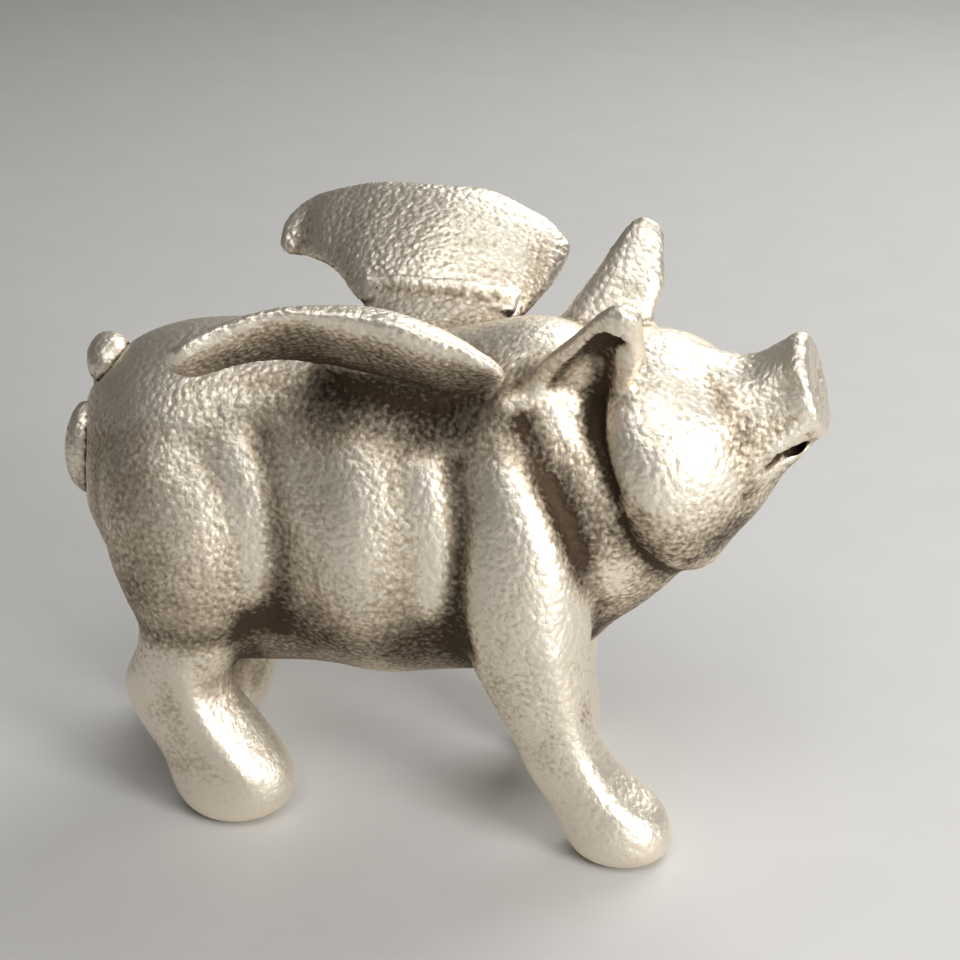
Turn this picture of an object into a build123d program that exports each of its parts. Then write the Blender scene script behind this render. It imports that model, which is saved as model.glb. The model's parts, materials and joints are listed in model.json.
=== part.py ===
"""Winged pig figurine: two hollow cast halves, two wings seated on stems, a curled tail and their fasteners."""

import os
from math import cos, radians, sin, sqrt, tan

from build123d import *

# Driving dimensions in millimetres: +X towards the snout, +Y the pig's left, +Z up, soles at zero.

# Trunk
trunk_length = 80.0
trunk_width = 41.0
trunk_height = 50.0
trunk_axis_height = 44.6
trunk_rise = 4.0

# Neck and head, measured along their pitched axis from a point inside the trunk
head_pitch = 17.0
neck_set_back = 15.5
neck_rise = 11.0
neck_length = 18.0
neck_width = 28.0
neck_depth = 40.0
neck_drop = 9.0
head_length = 37.1
head_width = 32.0
head_depth = 32.0
head_drop = 4.2

# Snout disc, its nostrils and the mouth under it
snout_diameter = 14.3
snout_thickness = 2.2
snout_rim_round = 1.0
nostril_diameter = 2.6
nostril_spacing = 5.6
nostril_depth = 0.7
mouth_height = 1.4
mouth_reach = 5.0
mouth_level = 6.6

# Legs
leg_track = 26.0
hip_track = 17.0
hip_rise = 18.0
hind_leg_length = 26.0
hind_leg_width = 20.4
hind_set_forward = 24.0
hind_sway = 8.0
left_hind_set_back = 11.5
left_hind_sway = -7.0
shoulder_rise = 19.0
fore_leg_length = 19.0
fore_leg_width = 19.0
fore_set_back = 15.1
fore_step = 15.0
left_fore_step = 1.8

# Ears
ear_height = 16.6
ear_width = 14.0
ear_thickness = 5.2
ear_ahead = 7.7
ear_rise = 12.4
ear_spread = 19.0
right_ear_lean = 28.0
left_ear_lean = 19.5
ear_splay = 26.5
ear_cup_depth = 3.0

# Wing stems and blades
stem_length = 22.0
stem_thickness = 4.8
stem_height = 10.0
stem_spread = 25.8
stem_stand_off = 7.5
stem_tilt = 46.5
wing_ahead = 8.5
wing_tilt = 38.0
wing_length = 43.2
wing_height = 22.0
wing_thickness = 6.8
wing_curl = 6.0

# Tail
tail_thickness = 4.6
tail_coil_width = 12.0
tail_coil_height = 18.4
tail_coil_depth = 4.7
tail_pitch = 28.0
spigot_diameter = 3.6
spigot_length = 6.0
collar_diameter = 6.0
collar_length = 1.6
collar_set_in = 3.0

# Shell
wall = 4.0
clamp_boss_diameter = 11.0
wing_boss_diameter = 9.0
wing_boss_depth = 12.3
tail_boss_diameter = 11.0
pin_boss_diameter = 8.0

# Fasteners
clamp_diameter = 5.0
clamp_head_diameter = 9.2
clamp_slot_width = 1.2
clamp_slot_depth = 1.2
clamp_recess = 0.8
clamp_thread_reach = 10.0
clamp_tip_room = 1.5
clamp_ahead = 4.5
wing_screw_diameter = 2.5
wing_screw_reach = 6.0
wing_screw_tip_room = 1.0
wing_screw_head_diameter = 4.6
wing_screw_head_height = 1.8
wing_screw_slot_width = 0.8
wing_screw_slot_depth = 0.8
washer_diameter = 6.0
washer_thickness = 0.8
pin_diameter = 3.0
pin_length = 10.0
head_pin_along = 16.0
rump_pin_forward = 13.5
rump_pin_drop = 14.5

clearance = 0.1
overrun = 3.0

# Trunk stations: place along the length, rise, width and height
trunk_station_shares = (
    (0.0, 0.90, 0.13, 0.16),
    (0.03, 0.85, 0.38, 0.46),
    (0.09, 0.60, 0.65, 0.71),
    (0.20, 0.0, 0.92, 0.95),
    (0.395, 0.0, 0.88, 1.0),
    (0.56, 0.0, 1.0, 1.0),
    (0.72, 0.40, 0.84, 1.01),
    (0.84, 0.80, 0.80, 1.0),
    (0.92, 0.85, 0.62, 0.86),
    (0.97, 0.75, 0.42, 0.62),
    (1.0, 0.70, 0.18, 0.28),
)
cavity_station_shares = trunk_station_shares[2:8]

# Neck stations: place along the axis, drop of the centre, width and depth
neck_station_shares = (
    (0.0, 1.0, 1.04, 1.02),
    (0.42, 0.875, 1.02, 0.93),
    (0.67, 0.80, 0.87, 0.86),
    (1.0, 0.61, 0.74, 0.72),
)

# Head stations: place along the axis, drop of the centre, width and depth
head_station_shares = (
    (0.315, 0.84, 0.56, 0.62),
    (0.355, 0.90, 0.86, 0.90),
    (0.45, 1.15, 1.0, 1.05),
    (0.565, 1.14, 0.94, 0.975),
    (0.675, 1.05, 0.79, 0.8125),
    (0.77, 1.02, 0.63, 0.65),
    (0.85, 0.75, 0.52, 0.53),
    (0.92, 0.45, 0.455, 0.49),
    (1.0, 0.04, 0.44, 0.43),
)

# Hind leg stations: height, sway back, length, width and drawing in towards the hip
hind_station_shares = (
    (0.0, 0.0, 0.40, 0.47, 0.0),
    (0.018, 0.0, 0.55, 0.61, 0.0),
    (0.064, 0.0, 0.69, 0.685, 0.0),
    (0.128, 0.09, 0.715, 0.685, 0.0),
    (0.188, 0.36, 0.71, 0.645, 0.0),
    (0.252, 0.71, 0.68, 0.62, 0.0),
    (0.329, 0.95, 0.60, 0.63, 0.0),
    (0.423, 0.66, 0.57, 0.72, 0.0),
    (0.535, 0.56, 0.74, 0.87, 0.12),
    (0.663, 0.64, 0.90, 1.0, 0.28),
    (0.807, 0.70, 0.92, 0.94, 0.47),
    (0.919, 0.69, 0.69, 0.69, 0.80),
    (1.0, 0.56, 0.31, 0.29, 1.0),
)

# Fore leg stations: height, step forward, length, width and drawing in towards the shoulder
fore_station_shares = (
    (0.0, 0.99, 0.54, 0.50, 0.0),
    (0.017, 0.985, 0.72, 0.63, 0.0),
    (0.063, 0.945, 0.83, 0.715, 0.0),
    (0.126, 0.825, 0.83, 0.695, 0.0),
    (0.186, 0.585, 0.74, 0.63, 0.0),
    (0.258, 0.40, 0.66, 0.59, 0.0),
    (0.368, 0.22, 0.745, 0.69, 0.0),
    (0.494, 0.08, 0.915, 0.885, 0.12),
    (0.651, 0.01, 1.0, 1.0, 0.34),
    (0.808, -0.03, 0.885, 0.945, 0.66),
    (0.934, -0.06, 0.53, 0.63, 0.88),
    (1.0, -0.08, 0.25, 0.30, 1.0),
)

# Fore leg that stands straight: a shorter foot under the same shoulder
straight_fore_station_shares = (
    (0.0, 0.99, 0.40, 0.46, 0.0),
    (0.017, 0.985, 0.52, 0.60, 0.0),
    (0.063, 0.945, 0.62, 0.69, 0.0),
    (0.126, 0.825, 0.64, 0.68, 0.0),
    (0.186, 0.585, 0.62, 0.63, 0.0),
    *fore_station_shares[5:],
)

# Ear stations: height, width and thickness
ear_station_shares = (
    (-0.55, 1.06, 1.0),
    (0.0, 0.97, 1.0),
    (0.34, 0.74, 0.92),
    (0.65, 0.555, 0.80),
    (0.80, 0.48, 0.72),
    (0.93, 0.36, 0.58),
    (1.0, 0.20, 0.36),
)
ear_cup_share = 0.77

# Wing stations: place along the length, height above the seat, curl, height and thickness
wing_station_shares = (
    (-0.609, 0.430, 1.283, 0.109, 0.147),
    (-0.597, 0.443, 1.284, 0.245, 0.338),
    (-0.569, 0.478, 1.299, 0.377, 0.485),
    (-0.532, 0.514, 1.314, 0.455, 0.544),
    (-0.463, 0.494, 0.994, 0.536, 0.603),
    (-0.370, 0.438, 0.611, 0.668, 0.574),
    (-0.278, 0.339, 0.290, 0.877, 0.588),
    (-0.185, 0.274, 0.160, 1.000, 0.721),
    (-0.093, 0.271, 0.159, 1.000, 0.897),
    (0.000, 0.269, 0.200, 1.000, 1.000),
    (0.093, 0.273, 0.313, 1.000, 0.971),
    (0.185, 0.250, 0.440, 0.945, 0.897),
    (0.255, 0.251, 0.540, 0.832, 0.706),
    (0.301, 0.297, 0.657, 0.659, 0.515),
    (0.347, 0.350, 0.780, 0.409, 0.353),
    (0.375, 0.401, 0.903, 0.200, 0.191),
    (0.384, 0.417, 0.939, 0.082, 0.103),
)

# Stem stations: height from the root to the seat, length and thickness
stem_station_shares = (
    (0.0, 1.0, 2.2),
    (0.40, 0.98, 1.6),
    (0.72, 0.98, 1.12),
    (1.0, 1.0, 1.0),
)

# Tail stations: back from the root, across the coil, down the coil and thickness
tail_station_shares = (
    (0.0, 0.0, 0.03, 1.10),
    (0.30, 0.0, -0.02, 1.22),
    (0.50, 0.15, -0.02, 1.22),
    (0.70, 0.36, 0.08, 1.14),
    (0.86, 0.49, 0.28, 1.05),
    (0.96, 0.48, 0.54, 1.0),
    (1.0, 0.32, 0.78, 0.97),
    (1.0, 0.04, 0.91, 0.95),
    (1.0, -0.26, 0.88, 0.93),
    (1.0, -0.46, 0.72, 0.91),
    (0.98, -0.48, 0.52, 0.87),
    (0.94, -0.36, 0.37, 0.76),
    (0.90, -0.22, 0.31, 0.52),
)
tail_root_back_share = 0.075
tail_root_rise_share = 0.68

# Places that follow from the driving dimensions
trunk_rear = -trunk_length / 2
trunk_front = trunk_length / 2
head_axis = Vector(cos(radians(head_pitch)), 0, sin(radians(head_pitch)))
head_up = Vector(-sin(radians(head_pitch)), 0, cos(radians(head_pitch)))
neck_point = Vector(trunk_front - neck_set_back, 0, trunk_axis_height + neck_rise)
disc_point = neck_point + head_axis * head_length
disc_plane = Plane(origin=disc_point, x_dir=(0, 1, 0), z_dir=head_axis)
back_drop_share = sqrt(1 - (stem_spread / trunk_width) ** 2)
seat_height = trunk_axis_height + trunk_height / 2 * back_drop_share + stem_stand_off
tail_root = Vector(
    trunk_rear + trunk_length * tail_root_back_share,
    0,
    trunk_axis_height + trunk_height / 2 * tail_root_rise_share,
)
tail_in = Vector(cos(radians(tail_pitch)), 0, -sin(radians(tail_pitch)))
clamp_plane = Plane(origin=(clamp_ahead, 0, trunk_axis_height), x_dir=(1, 0, 0), z_dir=(0, 1, 0))
clamp_face = trunk_width / 2 - clamp_recess
clamp_cone = (clamp_head_diameter - clamp_diameter) / 2
head_pin_point = neck_point + head_axis * head_pin_along
rump_pin_point = Vector(trunk_rear + rump_pin_forward, 0, trunk_axis_height - rump_pin_drop)


def lofted(stations):
    """Solid through elliptical stations, each a plane with its two full sizes."""
    with BuildPart() as form:
        for plane, across, along in stations:
            with BuildSketch(plane):
                Ellipse(across / 2, along / 2)
        loft()
    return form.part


def trunk_stations(rows, inset):
    """Trunk stations drawn in by an inset."""
    stations = []
    for along, rise, wide, high in rows:
        height = trunk_axis_height + trunk_rise * rise
        centre = (trunk_rear + trunk_length * along, 0, height)
        plane = Plane(origin=centre, x_dir=(0, 1, 0), z_dir=(1, 0, 0))
        stations.append((plane, trunk_width * wide - 2 * inset, trunk_height * high - 2 * inset))
    return stations


def axis_stations(rows, length, drop, width, depth):
    """Stations square to the head's axis, for the neck or the head."""
    stations = []
    for along, lower, wide, deep in rows:
        centre = neck_point + head_axis * (length * along) - head_up * (drop * lower)
        plane = Plane(origin=centre, x_dir=(0, 1, 0), z_dir=head_axis)
        stations.append((plane, width * wide, depth * deep))
    return stations


def leg_stations(side, rows, place, sway, rise, length, width):
    """Leg stations on one side, from the flat sole up into the trunk."""
    stations = []
    for up, step, long, wide, inward in rows:
        across = side * (leg_track + (hip_track - leg_track) * inward) / 2
        centre = (place + sway * step, across, (trunk_axis_height + rise) * up)
        stations.append((Plane(origin=centre), length * long, width * wide))
    return stations


def ear_plane(side):
    """Plane across the root of an ear, along its width."""
    lean = right_ear_lean if side < 0 else left_ear_lean
    up = Vector(tan(radians(lean)), side * tan(radians(ear_splay)), 1).normalized()
    origin = neck_point + Vector(ear_ahead, side * ear_spread / 2, ear_rise)
    return Plane(origin=origin, x_dir=Vector(1, 0, 0) - up * up.X, z_dir=up)


def ear_stations(side, size_share, outward):
    """Ear stations at a share of the full size, set outwards through the thickness."""
    root = ear_plane(side)
    stations = []
    for up, wide, thick in ear_station_shares:
        centre = (
            root.origin
            + root.y_dir * (side * outward * thick)
            + root.z_dir * (ear_height * up * size_share)
        )
        plane = Plane(origin=centre, x_dir=root.x_dir, z_dir=root.z_dir)
        stations.append((plane, ear_width * wide * size_share, ear_thickness * thick))
    return stations


def tilted(side, tilt):
    """Direction up and outwards, at a tilt above the level."""
    return Vector(0, side * cos(radians(tilt)), sin(radians(tilt)))


def seat_plane(side, depth):
    """Plane across the stem, a depth below its flat seat."""
    axis = tilted(side, stem_tilt)
    origin = Vector(wing_ahead, side * stem_spread / 2, seat_height) - axis * depth
    return Plane(origin=origin, x_dir=(1, 0, 0), z_dir=axis)


def stem_stations(side):
    """Stem stations from its flared root up to the seat."""
    stations = []
    for up, long, thick in stem_station_shares:
        plane = seat_plane(side, stem_height * (1 - up))
        stations.append((plane, stem_length * long, stem_thickness * thick))
    return stations


def wing_stations(side):
    """Blade stations from the curled rear tip to the front tip, flatter than the stem."""
    seat = seat_plane(side, 0)
    outward = seat.y_dir * side
    stations = []
    for along, up, curl, high, thick in wing_station_shares:
        centre = (
            seat.origin
            + seat.x_dir * (wing_length * along)
            + seat.z_dir * (wing_height * up)
            + outward * (wing_curl * curl)
        )
        plane = Plane(origin=centre, x_dir=tilted(side, wing_tilt), z_dir=(1, 0, 0))
        stations.append((plane, wing_height * high, wing_thickness * thick))
    return stations


def tail_stations():
    """Tail stations square to its centre line, from the root round the coil to the tip."""
    points = []
    for back, across, down, thick in tail_station_shares:
        offset = Vector(-tail_coil_depth * back, tail_coil_width * across, -tail_coil_height * down)
        points.append(tail_root + offset)
    ahead = points[1:] + points[-1:]
    behind = points[:1] + points[:-1]
    lead = Vector(0, 0, 1)
    stations = []
    for row, point, after, before in zip(tail_station_shares, points, ahead, behind):
        plane = Plane(origin=point, x_dir=lead, z_dir=after - before)
        lead = plane.x_dir
        stations.append((plane, tail_thickness * row[3], tail_thickness * row[3]))
    return stations


def rod(plane, diameter, start, end):
    """Round bar along a plane's normal, from one distance to another."""
    with BuildPart() as form:
        with BuildSketch(plane.offset(start)):
            Circle(diameter / 2)
        extrude(amount=end - start)
    return form.part


def turned(plane, outline):
    """Solid turned about a plane's normal from an outline of radius and height."""
    with BuildPart() as form:
        with BuildSketch(Plane(origin=plane.origin, x_dir=plane.x_dir, z_dir=-plane.y_dir)):
            with BuildLine():
                Polyline(*outline, close=True)
            make_face()
        revolve(axis=Axis(plane.origin, plane.z_dir))
    return form.part


def slotted(body, plane, face, width, slot_width, slot_depth):
    """Screw with a driver slot sunk into its head from a face, against the plane's normal."""
    with BuildPart() as screw:
        add(body)
        with BuildSketch(plane.offset(face)):
            Rectangle(width, slot_width)
        extrude(amount=-slot_depth, mode=Mode.SUBTRACT)
    return screw.part


# Whole trunk, neck, head and snout disc, before they are parted
trunk_form = lofted(trunk_stations(trunk_station_shares, 0))
neck_form = lofted(axis_stations(neck_station_shares, neck_length, neck_drop, neck_width, neck_depth))
head_form = lofted(axis_stations(head_station_shares, head_length, head_drop, head_width, head_depth))
with BuildPart() as core:
    add(trunk_form)
    add(neck_form)
    add(head_form)
    with BuildSketch(disc_plane):
        Circle(snout_diameter / 2)
    extrude(amount=snout_thickness)
    rim = core.faces().sort_by(Axis(disc_point, head_axis))[-1]
    fillet(rim.edges(), radius=snout_rim_round)
    with BuildSketch(disc_plane.offset(snout_thickness)):
        with GridLocations(nostril_spacing, nostril_spacing, 2, 1):
            Circle(nostril_diameter / 2)
    extrude(amount=-nostril_depth, mode=Mode.SUBTRACT)
    with BuildSketch(disc_plane):
        with Locations((0, -mouth_level)):
            Rectangle(head_width, mouth_height)
    extrude(amount=-mouth_reach, mode=Mode.SUBTRACT)

# Fastener places
tail_plane = Plane(origin=tail_root, x_dir=(0, 1, 0), z_dir=tail_in)
head_pin_plane = Plane(origin=head_pin_point, x_dir=(1, 0, 0), z_dir=(0, 1, 0))
rump_pin_plane = Plane(origin=rump_pin_point, x_dir=(1, 0, 0), z_dir=(0, 1, 0))
clamp_radius = clamp_diameter / 2
clamp_head_radius = clamp_head_diameter / 2
collar_end = collar_set_in + collar_length

# Hollow inside the trunk, with the bosses left standing in it
cavity_form = lofted(trunk_stations(cavity_station_shares, wall))
clamp_boss = rod(clamp_plane, clamp_boss_diameter, -trunk_width, trunk_width)
rump_boss = rod(rump_pin_plane, pin_boss_diameter, -trunk_width, trunk_width)
tail_boss = rod(tail_plane, tail_boss_diameter, -overrun, spigot_length + wall)
wing_bosses = [rod(seat_plane(side, 0), wing_boss_diameter, -wing_boss_depth, overrun) for side in (-1, 1)]
with BuildPart() as cavity:
    add(cavity_form)
    add(clamp_boss, mode=Mode.SUBTRACT)
    add(rump_boss, mode=Mode.SUBTRACT)
    add(tail_boss, mode=Mode.SUBTRACT)
    add(wing_bosses, mode=Mode.SUBTRACT)

# Holes through both halves
clamp_hole = turned(
    clamp_plane,
    (
        (0, -clamp_thread_reach - clamp_tip_room),
        (clamp_radius + clearance, -clamp_thread_reach - clamp_tip_room),
        (clamp_radius + clearance, clamp_face - clamp_cone + clearance),
        (clamp_head_radius, clamp_face),
        (clamp_head_radius, clamp_face + clamp_recess + overrun),
        (0, clamp_face + clamp_recess + overrun),
    ),
)
tail_socket = turned(
    tail_plane,
    (
        (0, -overrun),
        (spigot_diameter / 2 + clearance, -overrun),
        (spigot_diameter / 2 + clearance, collar_set_in),
        (collar_diameter / 2 + clearance, collar_set_in),
        (collar_diameter / 2 + clearance, collar_end + clearance),
        (spigot_diameter / 2 + clearance, collar_end + clearance),
        (spigot_diameter / 2 + clearance, spigot_length + clearance),
        (0, spigot_length + clearance),
    ),
)
tail_curl = lofted(tail_stations())
pin_reach = pin_length / 2 + clearance
head_pin_hole = rod(head_pin_plane, pin_diameter, -pin_reach, pin_reach)
rump_pin_hole = rod(rump_pin_plane, pin_diameter, -pin_reach, pin_reach)


def body_half(side, fore_rows, step, set_back, sway):
    """Hollow cast half with its legs, ear and wing stem, parted on the middle plane."""
    hind_place = trunk_rear + hind_set_forward - set_back
    fore_place = trunk_front - fore_set_back
    hind_leg = lofted(
        leg_stations(
            side, hind_station_shares, hind_place, -sway, hip_rise, hind_leg_length, hind_leg_width
        )
    )
    fore_leg = lofted(
        leg_stations(
            side, fore_rows, fore_place, step, shoulder_rise, fore_leg_length, fore_leg_width
        )
    )
    ear = lofted(ear_stations(side, 1, 0))
    ear_cup = lofted(ear_stations(side, ear_cup_share, ear_thickness - ear_cup_depth))
    stem = lofted(stem_stations(side))
    screw_hole = rod(
        seat_plane(side, 0),
        wing_screw_diameter + 2 * clearance,
        -wing_boss_depth - overrun,
        overrun,
    )
    with BuildPart() as ear_shell:
        add(ear)
        add(ear_cup, mode=Mode.SUBTRACT)
    with BuildPart() as half:
        add(core.part)
        add(hind_leg)
        add(fore_leg)
        add(ear_shell.part)
        add(stem)
        split(bisect_by=Plane.XZ, keep=Keep.TOP if side < 0 else Keep.BOTTOM)
        add(cavity.part, mode=Mode.SUBTRACT)
        add(screw_hole, mode=Mode.SUBTRACT)
        add(clamp_hole, mode=Mode.SUBTRACT)
        add(tail_curl, mode=Mode.SUBTRACT)
        add(tail_socket, mode=Mode.SUBTRACT)
        add(head_pin_hole, mode=Mode.SUBTRACT)
        add(rump_pin_hole, mode=Mode.SUBTRACT)
    return half.part


def wing(side):
    """Cast blade let onto the stem's seat, with a tapped hole up its middle."""
    blade = lofted(wing_stations(side))
    stem = lofted(stem_stations(side))
    tapped = rod(
        seat_plane(side, 0),
        wing_screw_diameter + 2 * clearance,
        -overrun,
        wing_screw_reach + wing_screw_tip_room,
    )
    with BuildPart() as form:
        add(blade)
        add(stem, mode=Mode.SUBTRACT)
        add(tapped, mode=Mode.SUBTRACT)
    return form.part


def wing_screw(side):
    """Slotted screw from inside the shell, up through the stem into the blade."""
    plane = seat_plane(side, 0)
    shoulder = -wing_boss_depth - washer_thickness
    body = turned(
        plane,
        (
            (0, shoulder - wing_screw_head_height),
            (wing_screw_head_diameter / 2, shoulder - wing_screw_head_height),
            (wing_screw_head_diameter / 2, shoulder),
            (wing_screw_diameter / 2, shoulder),
            (wing_screw_diameter / 2, wing_screw_reach),
            (0, wing_screw_reach),
        ),
    )
    face = shoulder - wing_screw_head_height
    return slotted(body, plane, face, washer_diameter, wing_screw_slot_width, -wing_screw_slot_depth)


def wing_washer(side):
    """Plain washer between the screw's head and the boss."""
    plane = seat_plane(side, wing_boss_depth + washer_thickness)
    with BuildPart() as washer:
        with BuildSketch(plane):
            Circle(washer_diameter / 2)
            Circle(wing_screw_diameter / 2 + clearance, mode=Mode.SUBTRACT)
        extrude(amount=washer_thickness)
    return washer.part


# Curled tail let into the rump, with a collared spigot caught between the halves
tail_spigot = turned(
    tail_plane,
    (
        (0, -overrun),
        (spigot_diameter / 2, -overrun),
        (spigot_diameter / 2, collar_set_in),
        (collar_diameter / 2, collar_set_in),
        (collar_diameter / 2, collar_end),
        (spigot_diameter / 2, collar_end),
        (spigot_diameter / 2, spigot_length),
        (0, spigot_length),
    ),
)
with BuildPart() as tail:
    add(tail_curl)
    add(tail_spigot)

# Screw that draws the left half onto the right
clamp_body = turned(
    clamp_plane,
    (
        (0, -clamp_thread_reach),
        (clamp_radius, -clamp_thread_reach),
        (clamp_radius, clamp_face - clamp_cone),
        (clamp_head_radius, clamp_face),
        (0, clamp_face),
    ),
)
clamp_screw = slotted(
    clamp_body, clamp_plane, clamp_face, 2 * clamp_head_diameter, clamp_slot_width, clamp_slot_depth
)

pieces = {
    "right_body_half": body_half(-1, fore_station_shares, fore_step, 0, hind_sway),
    "left_body_half": body_half(
        1, straight_fore_station_shares, left_fore_step, left_hind_set_back, left_hind_sway
    ),
    "right_wing": wing(-1),
    "left_wing": wing(1),
    "tail": tail.part,
    "clamp_screw": clamp_screw,
    "right_wing_screw": wing_screw(-1),
    "left_wing_screw": wing_screw(1),
    "right_wing_washer": wing_washer(-1),
    "left_wing_washer": wing_washer(1),
    "head_pin": rod(head_pin_plane, pin_diameter, -pin_length / 2, pin_length / 2),
    "rump_pin": rod(rump_pin_plane, pin_diameter, -pin_length / 2, pin_length / 2),
}

# The origin lies under the middle of the whole figure
boxes = [piece.bounding_box() for piece in pieces.values()]
middle = (min(box.min.X for box in boxes) + max(box.max.X for box in boxes)) / 2

os.makedirs("parts", exist_ok=True)
for name, piece in pieces.items():
    placed = piece.moved(Location((-middle, 0, 0)))
    placed.label = name
    export_step(placed, f"parts/{name}.step")
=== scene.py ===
"""Winged pig figurine: the cast skin, its finish and a plain studio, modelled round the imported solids."""

import json
import math

import bpy
import numpy as np
from bpy.props import FloatProperty, FloatVectorProperty, IntProperty, PointerProperty
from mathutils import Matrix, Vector
from mathutils.bvhtree import BVHTree


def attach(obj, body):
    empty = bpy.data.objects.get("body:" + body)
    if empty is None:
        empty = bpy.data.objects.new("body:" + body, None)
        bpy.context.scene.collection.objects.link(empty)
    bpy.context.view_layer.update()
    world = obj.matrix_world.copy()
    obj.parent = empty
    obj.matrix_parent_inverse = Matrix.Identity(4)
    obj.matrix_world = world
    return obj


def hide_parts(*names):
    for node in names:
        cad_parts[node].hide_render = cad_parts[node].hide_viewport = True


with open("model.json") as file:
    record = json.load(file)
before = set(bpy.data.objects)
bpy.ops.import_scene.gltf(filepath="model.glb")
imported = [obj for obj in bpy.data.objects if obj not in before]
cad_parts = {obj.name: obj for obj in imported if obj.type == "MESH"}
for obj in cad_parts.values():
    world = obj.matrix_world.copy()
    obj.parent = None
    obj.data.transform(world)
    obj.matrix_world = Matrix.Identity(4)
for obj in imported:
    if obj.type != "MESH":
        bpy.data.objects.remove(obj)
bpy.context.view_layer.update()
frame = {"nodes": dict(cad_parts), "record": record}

bl_info = {
    "name": "Winged pig figurine",
    "version": (1, 0, 0),
    "blender": (4, 5, 0),
    "location": "View3D > Sidebar > Figurine",
    "description": "Models a cast winged pig figurine round its packed solids",
    "category": "Object",
}

MM = 0.001

CASTINGS = ("right_body_half", "left_body_half", "right_wing", "left_wing", "tail")

# Seats of the wing stems: place on the left side in millimetres and lean of the stem from upright
SEAT = (-3.0, 12.9, 71.5)
STEM_LEAN = math.radians(43.5)

# Half sizes of the box that holds a stem's top, along the body, across the stem and along its lean
STEM_BOX = (12.5, 4.5, 3.0)

# How far a stem's top is lifted, swollen and drawn out at its ends to meet the wing, in millimetres
STEM_RISE = 0.8
STEM_SWELL = 0.35
STEM_SPREAD = 1.3

# Bar that fills a stem's screw hole, in millimetres: radius, length and depth of its middle below the seat
PLUG_RADIUS = 1.5
PLUG_LENGTH = 9.0
PLUG_DEPTH = 6.5

# Middle line of the left ear, its reach, and where the snout starts, in millimetres
EAR_LINE = ((22.0, 11.5, 71.5), (26.5, 16.8, 82.0))
EAR_REACH = 7.0
SNOUT_START = 41.0

# Surfaces with fewer vertices than this are specks of the remesh
SPECK = 200

# Folds of the casting, in millimetres and mirrored to both sides: line, half width, height
FOLDS = {
    "haunch_groove": (
        (
            (-20.9, 15.0, 59.3),
            (-19.5, 17.0, 54.6),
            (-18.4, 18.2, 48.0),
            (-18.1, 18.2, 40.6),
            (-20.1, 15.6, 31.4),
        ),
        2.6,
        -0.6,
    ),
    "haunch_ridge": (
        ((-24.4, 16.6, 57.9), (-22.5, 18.7, 51.8), (-21.7, 19.6, 44.9), (-22.0, 18.6, 36.9)),
        2.6,
        0.4,
    ),
    "haunch_foot": (
        ((-38.3, 18.1, 29.8), (-33.1, 20.7, 29.8), (-28.4, 19.9, 29.5), (-25.1, 17.0, 29.5)),
        2.5,
        -0.5,
    ),
    "belly_ridge": (((1.2, 16.9, 57.5), (3.1, 18.6, 51.4), (3.7, 19.0, 44.3), (2.5, 17.8, 36.1)), 2.4, 0.5),
    "shoulder_groove": (
        ((5.4, 15.9, 57.8), (5.7, 17.4, 51.5), (6.2, 17.6, 44.5), (6.9, 16.9, 36.7), (7.6, 16.8, 32.1)),
        2.2,
        -0.7,
    ),
    "shoulder_ridge": (
        ((11.7, 16.7, 57.0), (16.6, 18.2, 51.1), (18.5, 19.0, 44.5), (19.0, 19.7, 36.0)),
        3.5,
        0.4,
    ),
    "neck_groove": (
        ((14.0, 13.6, 63.0), (17.2, 14.8, 56.8), (20.4, 15.0, 50.0), (22.8, 13.0, 41.9), (23.9, 10.6, 37.0)),
        2.4,
        -0.7,
    ),
    "neck_fold": (((18.4, 10.9, 65.0), (22.4, 12.5, 57.6), (27.2, 13.0, 48.9), (29.4, 10.9, 43.0)), 2.0, 0.4),
    "cheek_swell": (((33.0, 14.0, 62.0),), 8.0, 0.6),
    "cheek_slit": (
        (
            (23.5, 11.3, 72.5),
            (22.8, 9.3, 66.0),
            (23.8, 10.2, 61.4),
            (26.1, 12.2, 56.8),
            (28.4, 12.9, 52.1),
            (31.3, 12.8, 48.2),
            (35.3, 10.6, 45.0),
        ),
        1.4,
        -0.6,
    ),
    "cheek_front": (
        ((35.2, 3.0, 71.3), (37.6, 5.9, 68.8), (39.2, 7.6, 66.6), (41.6, 9.8, 60.7), (43.2, 8.3, 54.1)),
        2.2,
        -0.6,
    ),
    "jowl": (((27.6, 13.4, 52.6), (30.6, 12.8, 48.6), (34.2, 10.4, 45.6), (37.0, 6.0, 44.2)), 2.2, 0.9),
    "ear_foot": (((27.5, 13.0, 74.5), (29.5, 11.5, 72.0)), 2.6, 1.2),
    "mouth": (((45.6, 7.0, 57.4), (47.2, 5.0, 58.4), (49.0, 3.0, 59.3), (49.6, 0.0, 59.6)), 0.9, -0.6),
    "lip": (((46.3, 7.1, 60.8), (47.7, 6.7, 61.9), (48.6, 6.6, 62.8)), 1.4, 0.5),
    "crest": (((18.2, 12.5, 69.3), (15.8, 11.4, 67.6), (13.9, 11.6, 66.5), (11.4, 12.4, 65.7)), 1.4, 0.6),
    "eye": (((36.3, 8.2, 68.8),), 0.6, -0.5),
}

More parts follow.
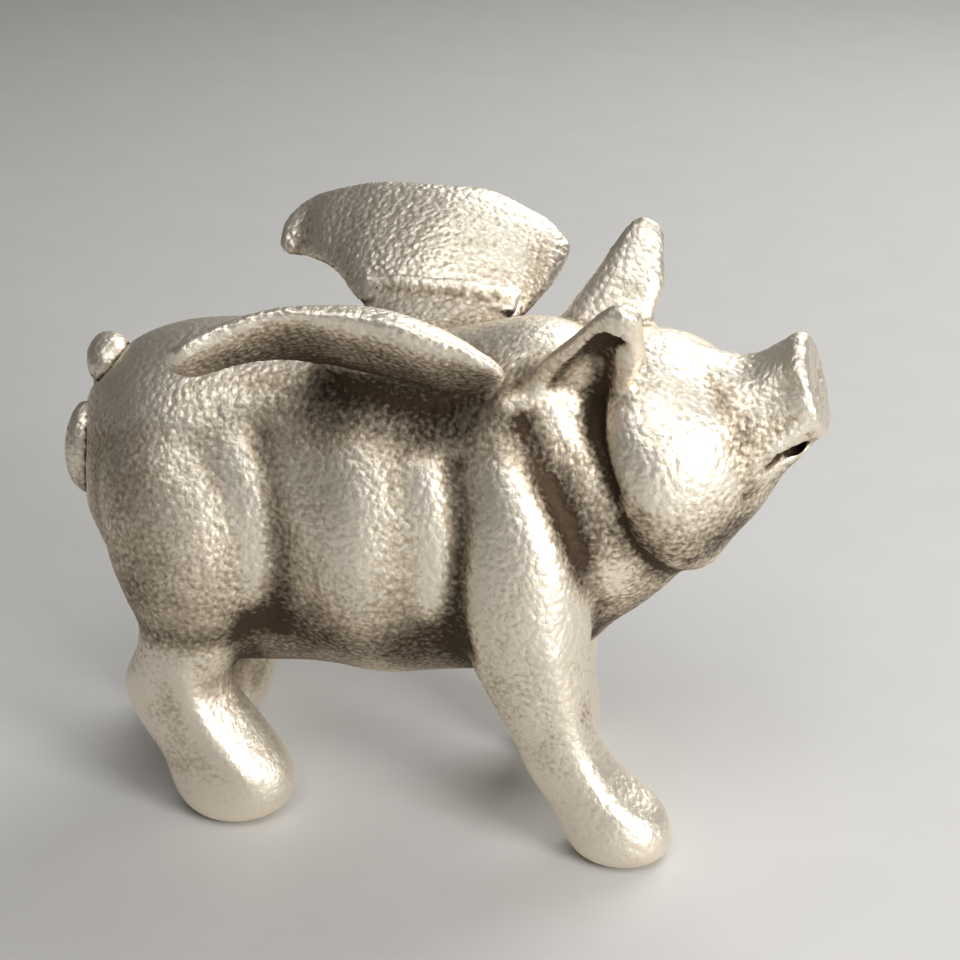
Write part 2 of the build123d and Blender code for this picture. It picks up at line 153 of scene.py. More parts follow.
# Edges of the near legs, where a flat top meets a flat side, told in the same way
LEG_EDGES = {
    "hind_edge": (
        (
            (-32.0, -19.4, 23.5),
            (-31.0, -18.6, 19.5),
            (-29.3, -18.7, 15.6),
            (-26.6, -18.7, 11.6),
            (-23.6, -18.4, 8.4),
        ),
        2.0,
        0.55,
    ),
    "hind_flat": (((-28.4, -16.4, 20.6), (-25.6, -15.6, 16.2), (-22.6, -15.2, 12.0)), 2.6, -0.35),
    "hind_side": (((-35.6, -19.0, 17.0), (-33.0, -19.0, 10.5)), 3.0, -0.25),
    "fore_edge": (
        (
            (19.3, -19.5, 33.0),
            (20.9, -18.4, 26.4),
            (22.6, -17.6, 19.1),
            (25.4, -17.6, 13.0),
            (28.9, -18.0, 9.0),
        ),
        2.0,
        0.45,
    ),
    "fore_flat": (((24.2, -14.6, 22.0), (27.2, -13.8, 15.5), (31.0, -13.6, 10.0)), 2.6, -0.35),
    "fore_side": (((17.4, -18.6, 17.5), (20.6, -18.4, 10.5)), 3.0, -0.25),
}

# Marks on the body: above zero painted shade with some tarnish, where the body faces away from the lamps or
# lies under its parts, and below zero painted highlights with some wear, on ridges and faces that catch the
# light: line, half width, amount
BODY_TARNISH_AND_PAINTED_LIGHT = {
    # Painted shade on the neck, where it turns away from the light
    "neck": (((14.0, 13.6, 63.0), (17.2, 14.8, 56.8), (20.8, 15.0, 50.0), (23.4, 13.0, 42.0)), 4.5, 0.42),
    # Painted shadow under the wing
    "under_wing": (((-13.0, 15.0, 63.5), (-4.0, 15.5, 64.0), (5.0, 15.0, 63.0)), 4.0, 0.30),
    "jaw": (((29.0, 14.2, 52.6), (32.0, 13.2, 48.6), (36.0, 9.7, 45.5), (41.5, 8.0, 49.5)), 3.6, 0.26),
    "belly": (((-17.0, 15.0, 31.5), (-8.0, 16.0, 30.0), (3.0, 15.0, 31.0)), 5.0, 0.24),
    "haunch": (((-37.0, 18.0, 36.0), (-30.0, 19.5, 32.5), (-24.0, 18.0, 32.0)), 5.0, 0.24),
    "rump": (((-46.0, 9.0, 52.0), (-42.0, 13.0, 40.0)), 6.0, 0.16),
    "snout": (((41.8, 9.0, 62.0), (45.4, 7.0, 62.5)), 3.2, 0.26),
    "haunch_mid": (((-38.0, 17.0, 52.0), (-35.0, 19.0, 44.0)), 7.0, 0.28),
    "cheek": (((31.5, 14.5, 62.5), (36.5, 12.5, 60.0)), 5.5, -0.22),
    "haunch_wear_and_highlight": (((-23.0, 18.0, 54.0), (-21.8, 18.6, 45.0), (-22.8, 17.6, 36.5)), 2.4, -0.22),
    "belly_wear_and_highlight": (((2.0, 16.6, 55.0), (3.2, 17.8, 48.0), (2.6, 17.6, 39.0)), 2.6, -0.22),
    "shoulder_wear_and_highlight": (
        ((13.5, 17.4, 56.0), (17.6, 18.8, 48.0), (19.2, 19.5, 38.9), (20.4, 18.6, 28.0)),
        3.2,
        -0.20,
    ),
    "brow": (((29.0, 5.0, 75.0), (35.0, 4.0, 72.0)), 4.0, -0.15),
    "disc": (((52.0, 0.0, 67.4),), 8.0, -0.40),
    # Lifts the painted shade in the cup of the ear
    "ear_cup": (((22.1, 10.8, 72.2), (20.0, 9.5, 68.7), (18.2, 10.3, 66.1)), 3.0, -0.60),
    # Painted shade that dims the light on the crest
    "crest": (
        ((16.0, 12.2, 69.5), (18.4, 12.4, 71.5), (21.2, 13.8, 74.8), (23.8, 14.8, 77.5)),
        1.8,
        0.22,
    ),
    "chest": (((22.6, 13.5, 37.5), (24.3, 12.2, 41.6)), 4.0, -0.60),
    "fore_foot": (((26.0, 15.0, 14.3), (30.5, 14.5, 9.5)), 5.0, -0.20),
    "hind_foot": (((-28.0, 16.5, 20.0), (-25.0, 15.0, 13.6), (-21.8, 15.0, 10.3)), 4.5, -0.18),
}

# Painted highlight with some wear along the rim of the wings, and darkening on the tail's curl, told in the
# same way
WING_RIM_WEAR_AND_HIGHLIGHT = {
    "rim": (((-22.0, 29.2, 78.4), (-11.0, 26.5, 81.4), (0.0, 27.2, 80.7), (9.0, 26.2, 78.0)), 3.5, -0.25),
}
TAIL_MARKS = {
    "curl": (((-48.5, 3.0, 66.0), (-50.0, 6.0, 58.0)), 6.0, 0.14),
}

# Tone of a plain upright face, the painted light that lightens an upward face, and the painted shade that
# darkens a downward and a sheltered face
BASE_TONE_LEVEL = 0.28
PAINTED_LIGHT_UP = -0.12
PAINTED_SHADE_DOWN = 0.50
PAINTED_SHADE_SHELTERED = 0.80

# Smoothing passes that find fine, middle and broad hollows, and how much each darkens the hollows with
# tarnish and painted shade and lightens proud spots with wear and painted highlight
HOLLOWS = ((4, 0.045), (40, 0.10), (240, 0.20))

# Lamps of the stage: place in metres, width in metres, power in watts
LAMPS = {
    "key": ((0.47, -0.30, 0.21), 0.20, 2.5),
    "back": ((0.18, 0.38, 0.42), 0.40, 2.0),
    "top": ((0.04, -0.26, 0.52), 0.36, 1.3),
}
LAMP_AIM = (0, 0, 0.04)


class CastingSettings(bpy.types.PropertyGroup):
    """Sizes and colours of the cast skin."""

    skin_spacing: FloatProperty(
        name="Skin spacing",
        description="Distance between points of the cast skin before it is refined",
        default=0.66 * MM,
        unit="LENGTH",
        precision=5,
    )
    wing_spacing: FloatProperty(
        name="Wing spacing",
        description="The same distance on the wings",
        default=0.5 * MM,
        unit="LENGTH",
        precision=5,
    )
    tail_spacing: FloatProperty(
        name="Tail spacing",
        description="The same distance on the tail",
        default=0.45 * MM,
        unit="LENGTH",
        precision=5,
    )
    skin_faces: IntProperty(
        name="Skin faces",
        description="Triangles of the two body halves together",
        default=372000,
    )
    blend_passes: IntProperty(
        name="Blend passes",
        description="How far the limbs, neck and head flow into each other",
        default=40,
    )
    grain_height: FloatProperty(
        name="Grain height",
        description="Height of the rough sand-cast grain",
        default=0.17 * MM,
        unit="LENGTH",
        precision=5,
    )
    grain_size: FloatProperty(
        name="Grain size",
        description="Width of one bump of the grain",
        default=0.75 * MM,
        unit="LENGTH",
        precision=5,
    )
    metal_colour: FloatVectorProperty(
        name="Metal",
        description="Warm grey of the cast metal",
        subtype="COLOR",
        default=(0.58, 0.485, 0.365),
        min=0.0,
        max=1.0,
    )
    # Tarnish colour, also used as painted shade in creases, under the wings and on downward faces
    tarnish_and_shade_colour: FloatVectorProperty(
        name="Recesses",
        description="Brown tarnish left in the recesses",
        subtype="COLOR",
        default=(0.085, 0.058, 0.037),
        min=0.0,
        max=1.0,
    )
    # Rubbed metal colour, also used as painted highlight on ridges and upward faces
    worn_and_highlight_colour: FloatVectorProperty(
        name="Worn spots",
        description="Bright metal where hands have rubbed it",
        subtype="COLOR",
        default=(0.90, 0.82, 0.69),
        min=0.0,
        max=1.0,
    )


class FastenerSettings(bpy.types.PropertyGroup):
    """Colours of the screws, washers and pins."""

    steel_colour: FloatVectorProperty(
        name="Steel",
        description="Plain turned steel",
        subtype="COLOR",
        default=(0.42, 0.41, 0.39),
        min=0.0,
        max=1.0,
    )


class StageSettings(bpy.types.PropertyGroup):
    """Floor, lamps and camera."""

    floor_colour: FloatVectorProperty(
        name="Floor",
        description="Plain pale floor",
        subtype="COLOR",
        default=(0.62, 0.61, 0.59),
        min=0.0,
        max=1.0,
    )
    camera_place: FloatVectorProperty(
        name="Camera",
        description="Where the camera stands",
        subtype="TRANSLATION",
        unit="LENGTH",
        default=(64.9 * MM, -279.2 * MM, 181.9 * MM),
    )
    camera_target: FloatVectorProperty(
        name="Target",
        description="What the camera looks at",
        subtype="TRANSLATION",
        unit="LENGTH",
        default=(5.51 * MM, 0.0, 48.8 * MM),
    )
    camera_lens: FloatProperty(
        name="Lens",
        description="Focal length in millimetres",
        default=86.25,
    )


def alone(piece):
    """Select one object and make it the active one."""
    bpy.ops.object.select_all(action="DESELECT")
    piece.select_set(True)
    bpy.context.view_layer.objects.active = piece


def cast_copy(name, *nodes):
    """One closed mesh that holds copies of some solids."""
    bpy.ops.object.select_all(action="DESELECT")
    copies = []
    for node in nodes:
        copy = bpy.data.objects.new(name, frame["nodes"][node].data.copy())
        bpy.context.scene.collection.objects.link(copy)
        copy.select_set(True)
        copies.append(copy)
    piece = copies[0]
    bpy.context.view_layer.objects.active = piece
    if len(copies) > 1:
        bpy.ops.object.join()
    piece.name = name
    piece.data.materials.clear()
    bpy.ops.object.mode_set(mode="EDIT")
    bpy.ops.mesh.select_all(action="SELECT")
    bpy.ops.mesh.remove_doubles(threshold=0.002 * MM)
    bpy.ops.object.mode_set(mode="OBJECT")
    return piece


def apply(piece, kind, **values):
    """Add a modifier with its values and apply it."""
    alone(piece)
    modifier = piece.modifiers.new(kind.lower(), kind)
    for key, value in values.items():
        setattr(modifier, key, value)
    bpy.ops.object.modifier_apply(modifier=modifier.name)


def discard(piece):
    """Remove a helper and its mesh."""
    mesh = piece.data
    bpy.data.objects.remove(piece)
    bpy.data.meshes.remove(mesh)


def loose_parts(piece):
    """The closed surfaces of a mesh as objects, the largest first and specks thrown away."""
    alone(piece)
    bpy.ops.object.mode_set(mode="EDIT")
    bpy.ops.mesh.select_all(action="SELECT")
    bpy.ops.mesh.separate(type="LOOSE")
    bpy.ops.object.mode_set(mode="OBJECT")
    parts = sorted(bpy.context.selected_objects, key=lambda part: -len(part.data.vertices))
    for speck in [part for part in parts if len(part.data.vertices) < SPECK]:
        parts.remove(speck)
        discard(speck)
    return parts


def stem_plug(side):
    """Bar that closes the screw hole of a wing stem below its seat."""
    axis = Vector((0, side * math.sin(STEM_LEAN), math.cos(STEM_LEAN)))
    seat = Vector((SEAT[0], side * SEAT[1], SEAT[2])) * MM
    bpy.ops.object.select_all(action="DESELECT")
    bpy.ops.mesh.primitive_cylinder_add(
        vertices=24,
        radius=PLUG_RADIUS * MM,
        depth=PLUG_LENGTH * MM,
        location=seat - axis * PLUG_DEPTH * MM,
        rotation=(-side * STEM_LEAN, 0, 0),
    )
    plug = bpy.context.active_object
    bpy.ops.object.transform_apply(location=True, rotation=True, scale=True)
    return plug


def places(piece):
    """Vertex places in millimetres."""
    flat = np.empty(len(piece.data.vertices) * 3)
    piece.data.vertices.foreach_get("co", flat)
    return flat.reshape(-1, 3) / MM


def normals(piece):
    """Vertex normals."""
    flat = np.empty(len(piece.data.vertices) * 3)
    piece.data.vertices.foreach_get("normal", flat)
    return flat.reshape(-1, 3)


def paint_group(piece, name, weights, steps=50):
    """Vertex group with the given weights, one for each vertex."""
    old = piece.vertex_groups.get(name)
    if old:
        piece.vertex_groups.remove(old)
    group = piece.vertex_groups.new(name=name)
    level = np.rint(np.clip(weights, 0, 1) * steps).astype(int)
    for step in range(1, steps + 1):
        members = np.flatnonzero(level == step)
        if len(members):
            group.add(members.tolist(), step / steps, "REPLACE")
    return group


def reach(spots, points):
    """Distance of each spot from a line through some points."""
    best = np.full(len(spots), 1e9)
    points = np.array(points, float)
    if len(points) == 1:
        return np.linalg.norm(spots - points[0], axis=1)
    for start, end in zip(points[:-1], points[1:]):
        along = end - start
        share = np.clip((spots - start) @ along / (along @ along), 0, 1)
        foot = start + share[:, None] * along
        best = np.minimum(best, np.linalg.norm(spots - foot, axis=1))
    return best


def mirrored(spots):
    """Places with the right side turned to the left, so one table serves both."""
    return spots * np.array((1, 0, 1)) + np.abs(spots) * np.array((0, 1, 0))


def work_folds(piece, folds, both_sides=True):
    """Press in or raise each fold of a table along the surface."""
    for name, (points, half_width, height) in folds.items():
        spots = places(piece)
        gap = reach(mirrored(spots) if both_sides else spots, points)
        paint_group(piece, name, np.exp(-((gap / half_width) ** 2)))
        apply(
            piece,
            "DISPLACE",
            direction="NORMAL",
            mid_level=0.0,
            strength=height * MM,
            vertex_group=name,
        )
        piece.vertex_groups.remove(piece.vertex_groups[name])


def grain_texture(name, kind, size):
    """Solid texture for the sand-cast grain."""
    texture = bpy.data.textures.new(name, kind)
    texture.noise_scale = size
    return texture


def rough_cast(piece, settings, weights):
    """Raise the sand-cast grain of a skin."""
    paint_group(piece, "grain", weights)
    store(piece, "rough_cast", weights)
    pebbles = grain_texture("pebbles", "VORONOI", settings.grain_size)
    sand = grain_texture("sand", "CLOUDS", settings.grain_size * 0.75)
    sand.noise_depth = 1
    swell = grain_texture("swell", "CLOUDS", settings.grain_size * 4)
    for texture, share in ((swell, 0.8), (pebbles, -0.6), (sand, 1.0)):
        apply(
            piece,
            "DISPLACE",
            direction="NORMAL",
            texture=texture,
            texture_coords="LOCAL",
            mid_level=0.75,
            strength=settings.grain_height * share,
            vertex_group="grain",
        )
        bpy.data.textures.remove(texture)
    piece.vertex_groups.remove(piece.vertex_groups["grain"])


def store(piece, name, values):
    """Attribute with one value for each vertex."""
    layer = piece.data.attributes.new(name, "FLOAT", "POINT")
    layer.data.foreach_set("value", values.astype(np.float32))


def figure_shell():
    """Search tree of the five castings as they stand together."""
    spots, faces = [], []
    for node in CASTINGS:
        mesh = frame["nodes"][node].data
        first = len(spots)
        spots.extend(vertex.co.copy() for vertex in mesh.vertices)
        faces.extend([first + corner for corner in face.vertices] for face in mesh.polygons)
    return BVHTree.FromPolygons(spots, faces)


# The share found here darkens the colour later as painted shade
def paint_shelter(piece, shell, rays=14, depth=16 * MM):
    """Attribute with the share of its surroundings that the figurine hides from each vertex."""
    turns = np.arange(rays) * math.pi * (3 - math.sqrt(5))
    level = 1 - (2 * np.arange(rays) + 1) / rays
    ring = np.sqrt(1 - level**2)
    ball = np.stack((ring * np.cos(turns), ring * np.sin(turns), level), axis=1)
    outward = normals(piece)
    starts = places(piece) * MM + outward * 1.0 * MM
    hidden = np.zeros(len(starts))
    for index, (start, normal) in enumerate(zip(starts.tolist(), outward)):
        for aim in (normal + 0.95 * ball).tolist():
            if shell.ray_cast(start, aim, depth)[0]:
                hidden[index] += 1 / rays
    store(piece, "shelter", hidden)


def paint_shade_sheen_and_tarnish(piece, marks):
    """Attribute of tarnish with painted shade and painted highlight: high where the skin is sunk, sheltered
    or faces down, and low where it is proud or faces up.
    """
    before = places(piece)
    outward = normals(piece)
    hidden = np.empty(len(before), np.float32)
    shelter = piece.data.attributes["shelter"]
    shelter.data.foreach_get("value", hidden)
    piece.data.attributes.remove(shelter)
    upward = outward[:, 2]
    above = np.clip((before[:, 2] - 16.0) / 16.0, 0.15, 1)
    # Painted light and shade: upward faces lighter, downward faces darker, most of all above the legs, and
    # faces sheltered by the figurine darker
    values = BASE_TONE_LEVEL + PAINTED_LIGHT_UP * np.clip(upward, 0, 1)
    values = values - PAINTED_SHADE_DOWN * above * np.clip(upward, -1, 0) + PAINTED_SHADE_SHELTERED * hidden
    for points, half_width, amount in marks.values():
        values += amount * np.exp(-((reach(mirrored(before), points) / half_width) ** 2))
    for passes, share in HOLLOWS:
        probe = piece.copy()
        probe.data = piece.data.copy()
        bpy.context.scene.collection.objects.link(probe)
        apply(probe, "SMOOTH", factor=0.5, iterations=passes)
        sunk = ((places(probe) - before) * outward).sum(axis=1)
        values += share * np.clip(sunk / np.percentile(np.abs(sunk), 85), -1.5, 1.5)
        discard(probe)
    store(piece, "shade_sheen_tarnish", values)


def shader(name):
    """New material with its shader, ready for more nodes."""
    material = bpy.data.materials.new(name)
    material.use_nodes = True
    tree = material.node_tree
    return material, tree, tree.nodes["Principled BSDF"]


def add_node(tree, kind, **values):
    """Node with some of its settings and inputs set."""
    node = tree.nodes.new(kind)
    for key, value in values.items():
        if key in node.inputs:
            node.inputs[key].default_value = value
        else:
            setattr(node, key, value)
    return node


def noise(tree, coords, scale, detail):
    """Noise at a scale per metre on the piece's own coordinates."""
    node = add_node(tree, "ShaderNodeTexNoise", Scale=scale, Detail=detail)
    tree.links.new(coords.outputs["Object"], node.inputs["Vector"])
    return node


def ramp(tree, source, stops):
    """Colour ramp through stops of place and colour."""
    node = tree.nodes.new("ShaderNodeValToRGB")
    elements = node.color_ramp.elements
    elements.remove(elements[1])
    elements[0].position = stops[0][0]
    for place, colour in stops[1:]:
        elements.new(place)
    for element, (place, colour) in zip(elements, stops):
        element.color = (*colour, 1.0)
    tree.links.new(source, node.inputs["Fac"])
    return node


def add_up(tree, source, share, base):
    """A share of one value added to another."""
    node = add_node(tree, "ShaderNodeMath", operation="MULTIPLY_ADD")
    node.inputs[1].default_value = share
    tree.links.new(source, node.inputs[0])
    tree.links.new(base, node.inputs[2])
    return node.outputs["Value"]


def cast_metal(settings):
    """Rubbed and tarnished cast metal, its colour also painted with highlights and shade."""
    material, tree, surface = shader("tarnished_casting_painted_light")
    coords = tree.nodes.new("ShaderNodeTexCoord")
    sunk = add_node(tree, "ShaderNodeAttribute", attribute_name="shade_sheen_tarnish")
    rough = add_node(tree, "ShaderNodeAttribute", attribute_name="rough_cast")
    patches = noise(tree, coords, 160, 4)
    sand = noise(tree, coords, 2200, 3)
    cells = add_node(tree, "ShaderNodeTexVoronoi", Scale=1000)
    tree.links.new(coords.outputs["Object"], cells.inputs["Vector"])
    tone_with_painted_light = add_up(tree, patches.outputs["Fac"], 0.22, sunk.outputs["Fac"])
    tone_with_painted_light = add_up(tree, cells.outputs["Distance"], 0.05, tone_with_painted_light)
    tone_with_painted_light = add_up(tree, sand.outputs["Fac"], 0.05, tone_with_painted_light)
    metal = settings.metal_colour
    # Colour from worn metal with painted highlights, through the metal and a darker copy of it as painted
    # shade, to tarnish with painted shade
    colour = ramp(
        tree,
        tone_with_painted_light,
        (
            (0.30, settings.worn_and_highlight_colour),
            (0.52, metal),
            (0.74, [0.48 * c for c in metal]),
            (0.96, settings.tarnish_and_shade_colour),
        ),
    )
    tree.links.new(colour.outputs["Color"], surface.inputs["Base Color"])
    gloss = ramp(tree, tone_with_painted_light, ((0.30, (0.47,) * 3), (0.96, (0.68,) * 3)))
    tree.links.new(gloss.outputs["Color"], surface.inputs["Roughness"])
    pebbled = add_node(tree, "ShaderNodeBump", Distance=0.00014, invert=True)
    tree.links.new(rough.outputs["Fac"], pebbled.inputs["Strength"])
    tree.links.new(cells.outputs["Distance"], pebbled.inputs["Height"])
    sandy = add_node(tree, "ShaderNodeBump", Strength=0.7, Distance=0.00010)
    tree.links.new(sand.outputs["Fac"], sandy.inputs["Height"])
    tree.links.new(pebbled.outputs["Normal"], sandy.inputs["Normal"])
    tree.links.new(sandy.outputs["Normal"], surface.inputs["Normal"])
    surface.inputs["Metallic"].default_value = 0.95
    return material


def turned_steel(settings):
    """Plain steel of the screws, washers and pins."""
    material, tree, surface = shader("turned_steel")
    coords = tree.nodes.new("ShaderNodeTexCoord")
    wear = noise(tree, coords, 700, 5)
    base = settings.steel_colour
    colour = ramp(tree, wear.outputs["Fac"], ((0.35, [0.7 * c for c in base]), (0.65, base)))
    tree.links.new(colour.outputs["Color"], surface.inputs["Base Color"])
    rough = ramp(tree, wear.outputs["Fac"], ((0.3, (0.28,) * 3), (0.7, (0.45,) * 3)))
    tree.links.new(rough.outputs["Color"], surface.inputs["Roughness"])
    surface.inputs["Metallic"].default_value = 1.0
    return material


def keep(piece, node, material):
    """Give a finished piece its material in a slot and its body, and hide the solid that it stands for."""
    alone(piece)
    bpy.ops.object.shade_smooth_by_angle(angle=math.radians(75))
    piece.data.materials.clear()
    piece.data.materials.append(material)
    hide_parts(node)
    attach(piece, "root")


def shared_material(name, make, settings):
    """Material made once and used again."""
    return bpy.data.materials.get(name) or make(settings)


class FIGURINE_OT_body(bpy.types.Operator):
    """Model the two cast body halves"""

    bl_idname = "figurine.body"
    bl_label = "Body halves"

    def execute(self, context):
        settings = context.scene.figurine_casting
        body = cast_copy("body", "right_body_half", "left_body_half")
        for side in (-1, 1):
            plug = stem_plug(side)
            alone(body)
            plug.select_set(True)
            bpy.ops.object.join()
        apply(body, "REMESH", mode="VOXEL", voxel_size=settings.skin_spacing, adaptivity=0.0)
        body, *hollows = loose_parts(body)
        paint_group(body, "blend", self.softness(body))
        apply(body, "SMOOTH", factor=0.5, iterations=settings.blend_passes, vertex_group="blend")
        body.vertex_groups.remove(body.vertex_groups["blend"])
        work_folds(body, FOLDS)
        work_folds(body, LEG_EDGES, both_sides=False)
        self.lift_stems(body)
        paint_shelter(body, figure_shell())
        apply(body, "SUBSURF", levels=1, render_levels=1)
        rough_cast(body, settings, self.grain(body))
        paint_shade_sheen_and_tarnish(body, BODY_TARNISH_AND_PAINTED_LIGHT)
        for hollow in hollows:
            apply(hollow, "DECIMATE", ratio=0.25)
            for name in ("rough_cast", "shade_sheen_tarnish"):
                store(hollow, name, np.ones(len(hollow.data.vertices)))
            alone(body)
            hollow.select_set(True)
            bpy.ops.object.join()
        body.data.calc_loop_triangles()
        apply(body, "DECIMATE", ratio=settings.skin_faces / len(body.data.loop_triangles))
        material = shared_material("tarnished_casting_painted_light", cast_metal, settings)
        for node, side in (("right_body_half", -1), ("left_body_half", 1)):
            keep(self.half(context, body, node, side), node, material)
        discard(body)
        return {"FINISHED"}

    def softness(self, body):
        """Weights of the smoothing: low on the ears, stems and snout, which stay crisp."""
        spots = mirrored(places(body))
        seat = np.array(SEAT)
        ear = np.clip(1 - reach(spots, EAR_LINE) / EAR_REACH, 0, 1) * 1.6
        stem = np.clip(1 - reach(spots, (seat - (9.0, 0, 0), seat + (9.0, 0, 0))) / 4.0, 0, 1)
        snout = np.clip((spots[:, 0] - SNOUT_START) / 3.0, 0, 1)
        return np.clip(1 - np.maximum(np.maximum(ear, stem), snout), 0.06, 1)

    def grain(self, body):
        """Weights of the grain: coarse on the head, finer on the trunk and legs, none on the soles."""
        spots = mirrored(places(body))
        weights = 0.45 + 0.3 * np.clip((spots[:, 2] - 14.0) / 12.0, 0, 1)
        weights += 0.25 * np.clip((spots[:, 0] - 18.0) / 8.0, 0, 1)
        return weights * np.clip(spots[:, 2] / 2.0, 0, 1)

    def half(self, context, body, node, side):
        """The part of the skin on one side of the parting plane."""
        half = body.copy()
        half.data = body.data.copy()
        half.name = f"{node}_skin"
        context.scene.collection.objects.link(half)
        bpy.ops.object.select_all(action="DESELECT")
        bpy.ops.mesh.primitive_cube_add(size=0.2, location=(0, 0.1 * side, 0.05))
        block = context.active_object
        apply(half, "BOOLEAN", operation="INTERSECT", object=block, solver="MANIFOLD")
        discard(block)
        return half

    def lift_stems(self, body):
        """Raise the tops of the wing stems into the wings, so that no gap shows."""
        spots = mirrored(places(body)) - SEAT
        height = spots @ (0, math.sin(STEM_LEAN), math.cos(STEM_LEAN))
        across = spots @ (0, math.cos(STEM_LEAN), -math.sin(STEM_LEAN))
        within = (np.abs(np.stack((spots[:, 0], across, height), axis=1)) < STEM_BOX).all(axis=1)
        paint_group(body, "stem_top", within * np.clip((height + 1.6) / 1.2, 0, 1))
        push = {"mid_level": 0.0, "vertex_group": "stem_top"}
        apply(body, "DISPLACE", direction="Z", strength=STEM_RISE * MM, **push)
        apply(body, "DISPLACE", direction="NORMAL", strength=STEM_SWELL * MM, **push)
        for way in (-1, 1):
            paint_group(body, "stem_top", within * np.clip(way * spots[:, 0] / 5.0 - 1.2, 0, 1))
            apply(body, "DISPLACE", direction="X", strength=way * STEM_SPREAD * MM, **push)
        body.vertex_groups.remove(body.vertex_groups["stem_top"])


class FIGURINE_OT_wings(bpy.types.Operator):
    """Model the two cast wings"""

    bl_idname = "figurine.wings"
    bl_label = "Wings"

    def execute(self, context):
        settings = context.scene.figurine_casting
        material = shared_material("tarnished_casting_painted_light", cast_metal, settings)
        shell = figure_shell()
        for side in ("right", "left"):
            wing = cast_copy(f"{side}_wing_skin", f"{side}_wing")
            apply(wing, "REMESH", mode="VOXEL", voxel_size=settings.wing_spacing, adaptivity=0.0)
            wing = loose_parts(wing)[0]
            apply(wing, "SMOOTH", factor=0.5, iterations=6)
            paint_shelter(wing, shell)
            apply(wing, "SUBSURF", levels=1, render_levels=1)
            rough_cast(wing, settings, np.ones(len(wing.data.vertices)))
            paint_shade_sheen_and_tarnish(wing, WING_RIM_WEAR_AND_HIGHLIGHT)
            keep(wing, f"{side}_wing", material)
        return {"FINISHED"}


class FIGURINE_OT_tail(bpy.types.Operator):
    """Model the curled tail"""

    bl_idname = "figurine.tail"
    bl_label = "Tail"

    def execute(self, context):
        settings = context.scene.figurine_casting
        material = shared_material("tarnished_casting_painted_light", cast_metal, settings)
        tail = cast_copy("tail_skin", "tail")
        apply(tail, "REMESH", mode="VOXEL", voxel_size=settings.tail_spacing, adaptivity=0.0)
        apply(tail, "SMOOTH", factor=0.5, iterations=6)
        self.swell_root(tail)
        paint_shelter(tail, figure_shell())
        apply(tail, "SUBSURF", levels=1, render_levels=1)
        rough_cast(tail, settings, np.full(len(tail.data.vertices), 0.8))
        paint_shade_sheen_and_tarnish(tail, TAIL_MARKS)
        keep(tail, "tail", material)
        return {"FINISHED"}

    def swell_root(self, tail):
        """Thicken the side of the curl that meets the rump."""
        paint_group(tail, "root", np.clip((places(tail)[:, 0] + 51.2) / 2.4, 0, 1))
        apply(
            tail,
            "DISPLACE",
            direction="NORMAL",
            mid_level=0.0,
            strength=0.7 * MM,
            vertex_group="root",
        )
        tail.vertex_groups.remove(tail.vertex_groups["root"])


class FIGURINE_OT_fasteners(bpy.types.Operator):
    """Finish the screws, washers and pins"""

    bl_idname = "figurine.fasteners"
    bl_label = "Fasteners"

    def execute(self, context):
        steel = turned_steel(context.scene.figurine_fasteners)
        for part in frame["record"]["subparts"]:
            if part["material_slot"] == "fasteners":
                piece = frame["nodes"][part["node"]]
                piece.data.materials.clear()
                piece.data.materials.append(steel)
        return {"FINISHED"}


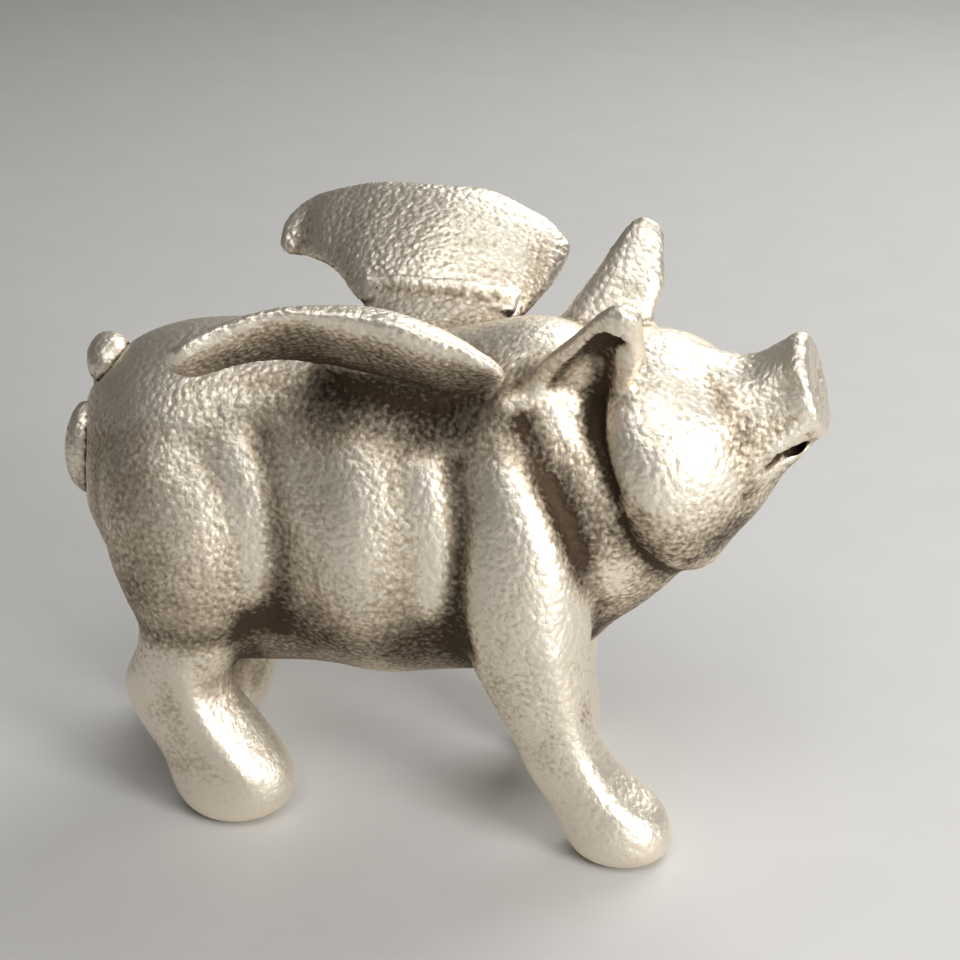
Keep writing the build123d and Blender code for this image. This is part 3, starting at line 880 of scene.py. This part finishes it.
class FIGURINE_OT_stage(bpy.types.Operator):
    """Set up the floor, the lamps and the camera"""

    bl_idname = "figurine.stage"
    bl_label = "Stage"

    def execute(self, context):
        settings = context.scene.figurine_stage
        bpy.ops.object.select_all(action="DESELECT")
        bpy.ops.mesh.primitive_plane_add(size=4.0, location=(0, 0, 0))
        floor = context.active_object
        floor.name = "floor"
        material, tree, surface = shader("pale_floor")
        coords = tree.nodes.new("ShaderNodeTexCoord")
        mottle = noise(tree, coords, 60, 3)
        base = settings.floor_colour
        colour = ramp(tree, mottle.outputs["Fac"], ((0.3, [0.97 * c for c in base]), (0.7, base)))
        tree.links.new(colour.outputs["Color"], surface.inputs["Base Color"])
        surface.inputs["Roughness"].default_value = 0.6
        floor.data.materials.append(material)
        for name, (place, size, power) in LAMPS.items():
            self.lamp(name, place, size, power)
        self.world(context)
        data = bpy.data.cameras.new("camera")
        data.lens = settings.camera_lens
        camera = bpy.data.objects.new("camera", data)
        context.scene.collection.objects.link(camera)
        camera.location = settings.camera_place
        aim = Vector(settings.camera_target) - Vector(settings.camera_place)
        camera.rotation_euler = aim.to_track_quat("-Z", "Y").to_euler()
        context.scene.camera = camera
        context.scene.view_settings.view_transform = "Standard"
        return {"FINISHED"}

    def lamp(self, name, place, size, power):
        """Square soft lamp aimed at the figurine."""
        data = bpy.data.lights.new(name, "AREA")
        data.size = size
        data.energy = power
        lamp = bpy.data.objects.new(name, data)
        bpy.context.scene.collection.objects.link(lamp)
        lamp.location = place
        aim = Vector(LAMP_AIM) - Vector(place)
        lamp.rotation_euler = aim.to_track_quat("-Z", "Y").to_euler()

    def world(self, context):
        """Even, pale surroundings."""
        world = bpy.data.worlds.new("surroundings")
        world.use_nodes = True
        background = world.node_tree.nodes["Background"]
        background.inputs["Color"].default_value = (1.0, 0.98, 0.95, 1.0)
        background.inputs["Strength"].default_value = 0.10
        context.scene.world = world


class FIGURINE_PT_panel(bpy.types.Panel):
    """Sidebar panel with the figurine's pieces"""

    bl_idname = "FIGURINE_PT_panel"
    bl_label = "Winged pig figurine"
    bl_space_type = "VIEW_3D"
    bl_region_type = "UI"
    bl_category = "Figurine"

    def draw(self, context):
        for operator in OPERATORS:
            self.layout.operator(operator.bl_idname)
        for group in ("figurine_casting", "figurine_fasteners", "figurine_stage"):
            settings = getattr(context.scene, group)
            box = self.layout.box()
            for name in settings.__annotations__:
                box.prop(settings, name)


SETTINGS = (CastingSettings, FastenerSettings, StageSettings)
OPERATORS = (
    FIGURINE_OT_body,
    FIGURINE_OT_wings,
    FIGURINE_OT_tail,
    FIGURINE_OT_fasteners,
    FIGURINE_OT_stage,
)


def register():
    for item in (*SETTINGS, *OPERATORS, FIGURINE_PT_panel):
        bpy.utils.register_class(item)
    bpy.types.Scene.figurine_casting = PointerProperty(type=CastingSettings)
    bpy.types.Scene.figurine_fasteners = PointerProperty(type=FastenerSettings)
    bpy.types.Scene.figurine_stage = PointerProperty(type=StageSettings)


def unregister():
    del bpy.types.Scene.figurine_stage
    del bpy.types.Scene.figurine_fasteners
    del bpy.types.Scene.figurine_casting
    for item in reversed((*SETTINGS, *OPERATORS, FIGURINE_PT_panel)):
        bpy.utils.unregister_class(item)


def main():
    register()
    bpy.ops.figurine.body()
    bpy.ops.figurine.wings()
    bpy.ops.figurine.tail()
    bpy.ops.figurine.fasteners()
    bpy.ops.figurine.stage()


if __name__ == "__main__":
    main()
